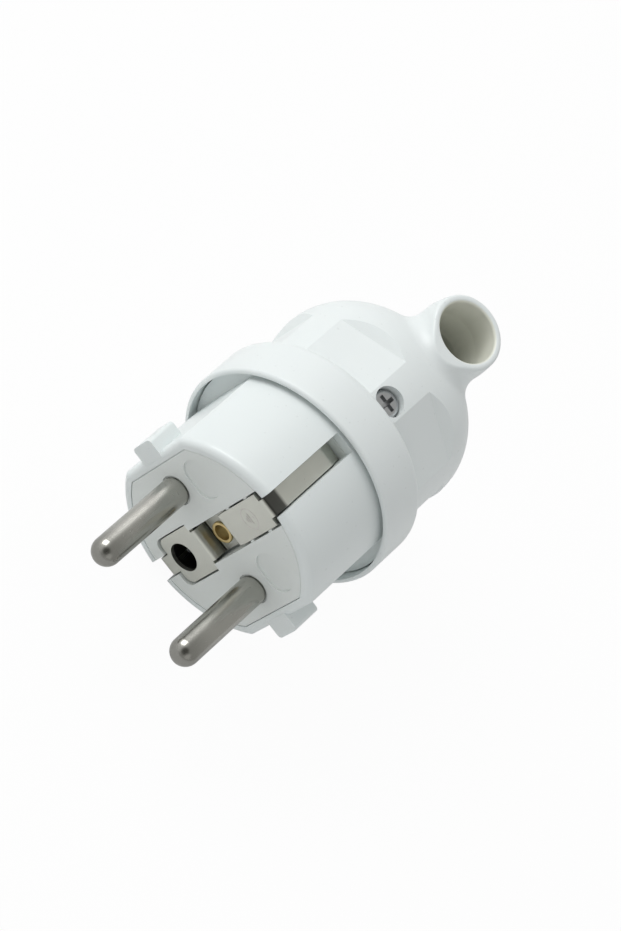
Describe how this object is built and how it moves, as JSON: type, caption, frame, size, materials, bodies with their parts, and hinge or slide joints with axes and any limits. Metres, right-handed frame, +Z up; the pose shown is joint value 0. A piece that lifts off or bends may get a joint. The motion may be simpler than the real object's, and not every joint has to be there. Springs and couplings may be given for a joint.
{
  "type": "mains plug",
  "caption": "Rewirable earthed mains plug with round pins, an earth hole, side earth clips, a grip ring and a cord outlet at a right angle.",
  "frame": {"origin": "on the surface the plug lies on, under the middle of its bounding box", "axes": "+Z up, with the cord outlet on top; +X horizontally towards the pins, which dip 5.8 degrees below +X; +Y from the live pin towards the neutral pin"},
  "size_m": [0.0732, 0.0394, 0.0416],
  "materials": {
    "cover_plastic": "white moulded plastic with a soft sheen",
    "shell_plastic": "white moulded plastic with a soft sheen",
    "carrier_plastic": "white moulded plastic with a soft sheen",
    "pin_metal": "nickel-plated brass",
    "strip_metal": "satin nickel-plated spring strip",
    "brass": "bare turned brass",
    "screw_steel": "zinc-plated steel"
  },
  "bodies": {
    "root": {"rear_cover": "cover_plastic", "front_shell": "shell_plastic", "pin_carrier": "carrier_plastic", "live_pin": "pin_metal", "neutral_pin": "pin_metal", "live_terminal": "brass", "neutral_terminal": "brass", "live_terminal_screw": "screw_steel", "neutral_terminal_screw": "screw_steel", "earth_strap": "strip_metal", "earth_socket": "strip_metal", "earth_eyelet": "brass", "earth_sleeve": "brass", "earth_terminal": "brass", "earth_washer": "screw_steel", "earth_terminal_screw": "screw_steel", "cord_clamp": "carrier_plastic", "clamp_screw_left": "screw_steel", "clamp_screw_right": "screw_steel", "cover_screw": "screw_steel", "cover_nut": "screw_steel"}
  },
  "joints": []
}
